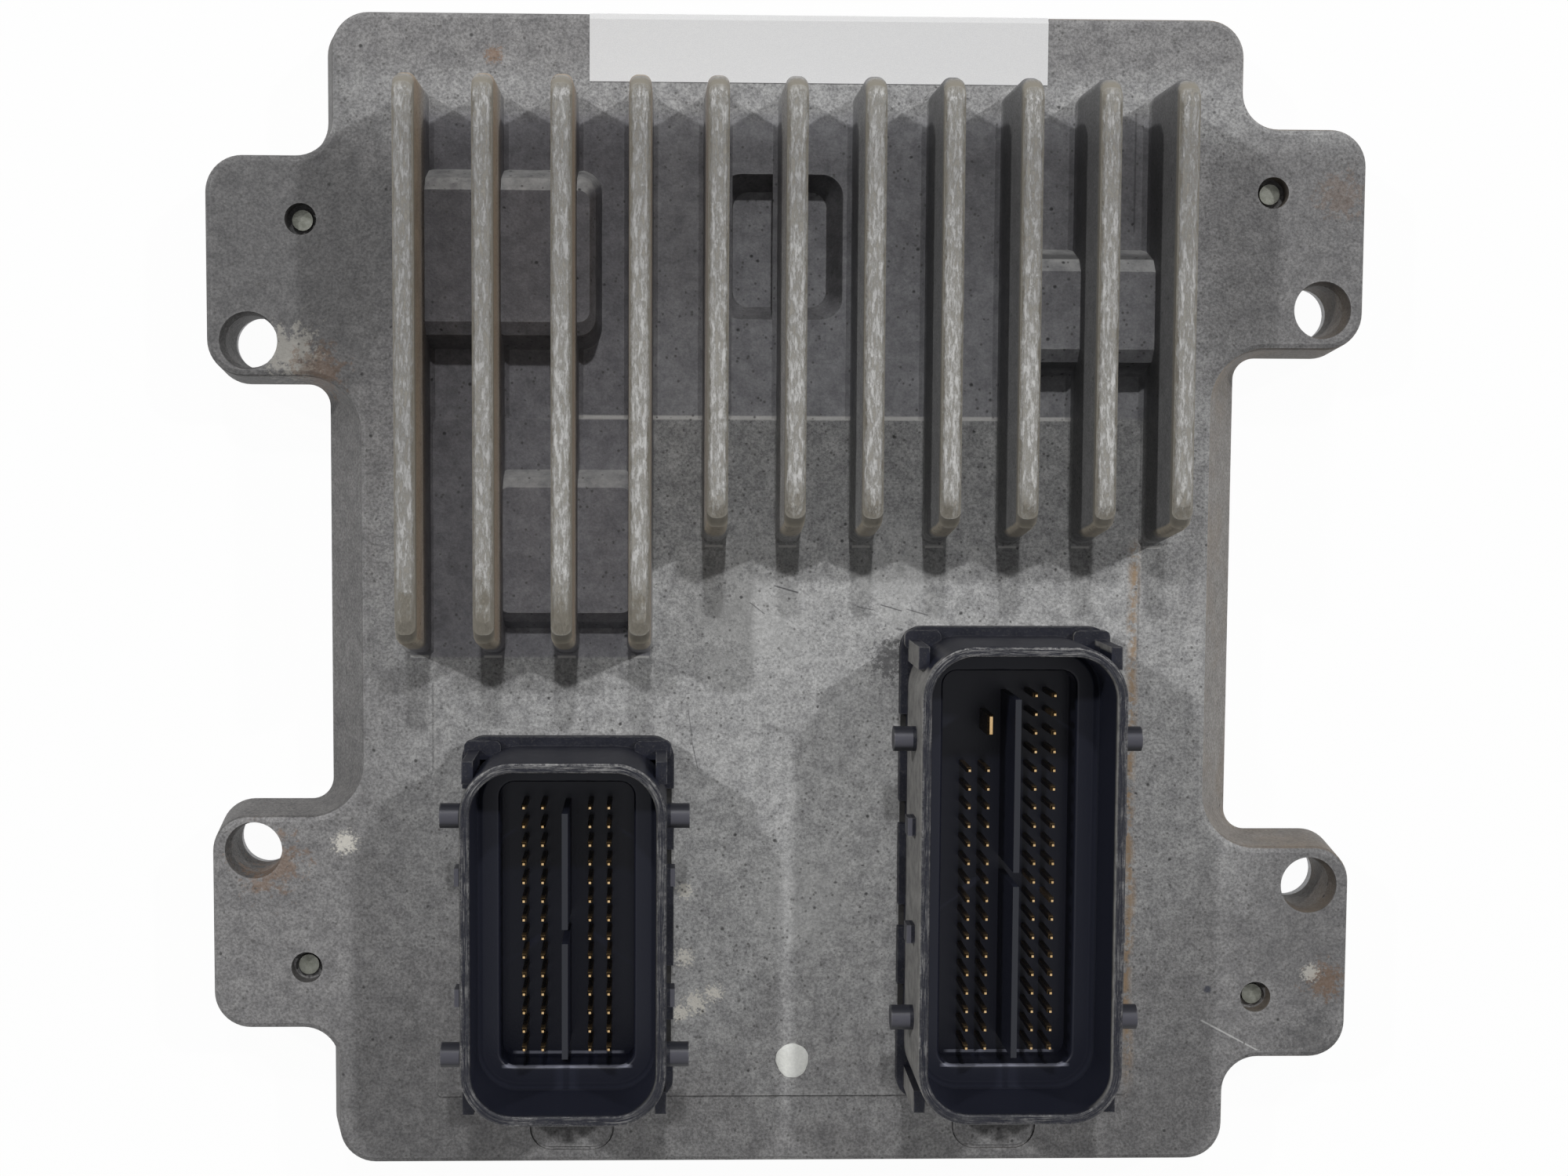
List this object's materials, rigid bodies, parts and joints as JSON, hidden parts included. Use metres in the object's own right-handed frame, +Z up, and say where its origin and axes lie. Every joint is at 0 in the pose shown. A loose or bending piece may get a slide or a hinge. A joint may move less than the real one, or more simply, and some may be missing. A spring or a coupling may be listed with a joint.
{
  "type": "engine control unit",
  "caption": "Finned cast aluminium engine control unit with mounting ears and shrouded plastic pin headers that face up.",
  "frame": {"origin": "under the middle of the cover plate, in the plane the unit rests on", "axes": "+X across the unit towards the longer connector, +Y from the connectors towards the fins, +Z up through the connector mouths"},
  "size_m": [0.16, 0.16, 0.03],
  "materials": {
    "cast_aluminium": "as cast, dull and dusty",
    "cover_sheet": "rolled sheet, dull",
    "gasket_rubber": "moulded",
    "screw_steel": "zinc plated, dulled",
    "label_paper": "coated paper, blank",
    "connector_plastic": "moulded, scuffed and dusty",
    "gold_plated_pins": "gold plated",
    "board_laminate": "green solder mask over fine traces",
    "chip_plastic": "moulded",
    "pad_silicone": "soft heat-conducting pad",
    "can_metal": "drawn can",
    "ferrite": "ground ferrite",
    "capacitor_ceramic": "fired, with tinned ends",
    "resistor_film": "glazed film with tinned ends"
  },
  "bodies": {
    "root": {"housing": "cast_aluminium", "cover_plate": "cover_sheet", "cover_gasket": "gasket_rubber", "cover_screws": "screw_steel", "paper_label": "label_paper", "left_connector_shell": "connector_plastic", "right_connector_shell": "connector_plastic", "left_connector_seal": "gasket_rubber", "right_connector_seal": "gasket_rubber", "left_outer_pins": "gold_plated_pins", "left_inner_pins": "gold_plated_pins", "right_outer_pins": "gold_plated_pins", "right_inner_pins": "gold_plated_pins", "power_blade": "gold_plated_pins", "circuit_board": "board_laminate", "board_screws": "screw_steel", "processor": "chip_plastic", "flash_memory": "chip_plastic", "power_regulator": "chip_plastic", "driver_chips": "chip_plastic", "ignition_drivers": "chip_plastic", "network_transceivers": "chip_plastic", "surge_diode": "chip_plastic", "thermal_pads": "pad_silicone", "regulator_pad": "pad_silicone", "electrolytic_capacitors": "can_metal", "crystal": "can_metal", "power_inductor": "ferrite", "input_choke": "ferrite", "ceramic_capacitors": "capacitor_ceramic", "chip_resistors": "resistor_film"}
  },
  "joints": []
}
